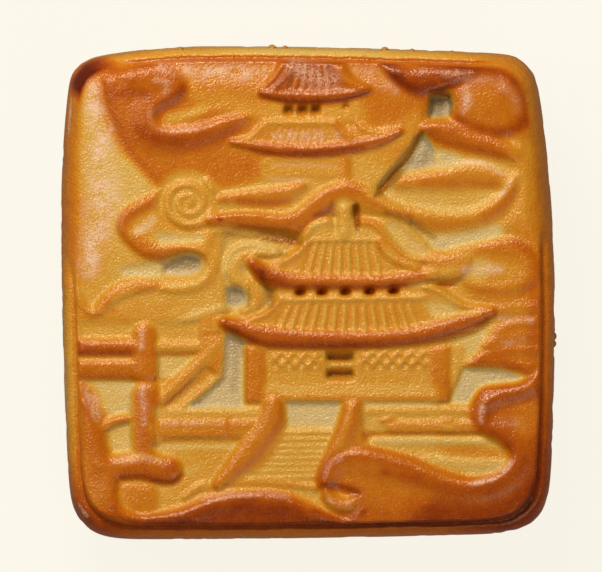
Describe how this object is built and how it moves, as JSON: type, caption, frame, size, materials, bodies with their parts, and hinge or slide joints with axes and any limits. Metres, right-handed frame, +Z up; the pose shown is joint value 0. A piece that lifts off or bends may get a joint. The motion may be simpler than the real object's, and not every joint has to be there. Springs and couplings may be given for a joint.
{
  "type": "mooncake",
  "caption": "Square baked mooncake with bulging sides and a landscape of pavilions, clouds, railings and stairs pressed into its face.",
  "frame": {"origin": "middle of the flat base", "axes": "+Z up out of the pressed face, +Y towards the top of the landscape (the moon side), +X to its right"},
  "size_m": [0.0803, 0.0802, 0.032],
  "materials": {
    "crust": "egg-washed baked crust, pale gold in the hollows and brown on the crests and edges, with fine pimples in the glaze"
  },
  "bodies": {
    "root": {"mooncake": "crust"}
  },
  "joints": []
}
